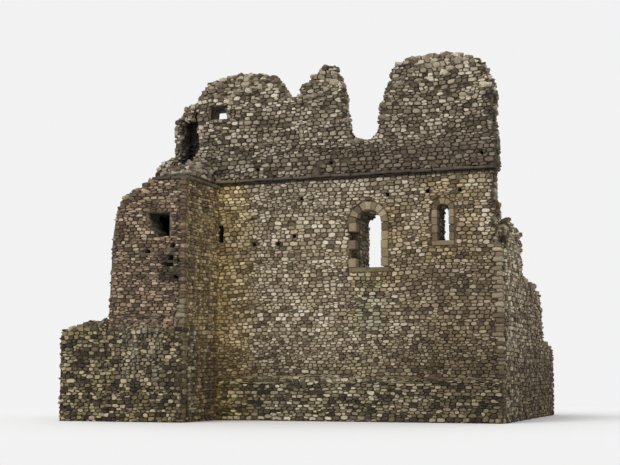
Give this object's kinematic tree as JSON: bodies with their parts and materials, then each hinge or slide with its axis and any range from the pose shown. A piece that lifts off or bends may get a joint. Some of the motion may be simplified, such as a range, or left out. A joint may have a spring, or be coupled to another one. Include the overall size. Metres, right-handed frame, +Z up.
{
  "type": "ruined rubble stone castle keep",
  "caption": "Ruined two-storey rubble keep with round-headed windows, a drip course, a broken upper wall, a closet turret at one front corner and low ragged side and back walls.",
  "frame": {"origin": "middle of the plan, on the level of the lowest foot", "axes": "+X to the right along the front, +Y to the back, +Z up"},
  "size_m": [15.8, 13.36, 13.29],
  "materials": {
    "wall_rubble": "coursed beige and grey rubble with lime mortar",
    "upper_rubble": "grey rough rubble, deep open joints",
    "turret_rubble_stone": "brown flat-bedded rubble",
    "footing_rubble": "coarse dark rubble, damp at the foot",
    "dressed_stone": "squared weathered stone",
    "drip_slab": "thin dark slabs"
  },
  "bodies": {
    "root": {"front_plinth": "footing_rubble", "front_wall_base": "wall_rubble", "front_wall_left_bay": "wall_rubble", "front_wall_middle_pier": "wall_rubble", "front_wall_right_bay": "wall_rubble", "front_wall_window_heads": "wall_rubble", "front_wall_behind_turret": "wall_rubble", "floor_ledge": "wall_rubble", "main_window_sill": "dressed_stone", "main_window_jambs": "dressed_stone", "main_window_arch": "dressed_stone", "narrow_window_breast": "wall_rubble", "narrow_window_sill": "dressed_stone", "narrow_window_jambs": "dressed_stone", "narrow_window_arch": "dressed_stone", "drip_course": "drip_slab", "upper_wall_band": "upper_rubble", "upper_left_wall": "upper_rubble", "upper_left_crag": "upper_rubble", "upper_pinnacle": "upper_rubble", "upper_right_crag": "upper_rubble", "recess_back": "upper_rubble", "recess_jamb": "upper_rubble", "recess_head": "upper_rubble", "turret_shoulder": "turret_rubble_stone", "turret_foot": "footing_rubble", "turret_front_wall": "turret_rubble_stone", "turret_window_left": "turret_rubble_stone", "turret_window_right": "turret_rubble_stone", "turret_right_wall": "turret_rubble_stone", "turret_left_wall": "turret_rubble_stone", "turret_cap": "turret_rubble_stone", "turret_drip_course": "drip_slab", "turret_rubble": "turret_rubble_stone", "wall_stub": "footing_rubble", "right_wall_front": "wall_rubble", "right_wall_back": "wall_rubble", "left_wall_front": "wall_rubble", "left_wall_back": "wall_rubble", "back_wall_left": "wall_rubble", "back_wall_right": "wall_rubble", "back_wall_over_door": "wall_rubble", "back_doorway_arch": "dressed_stone"}
  },
  "joints": []
}
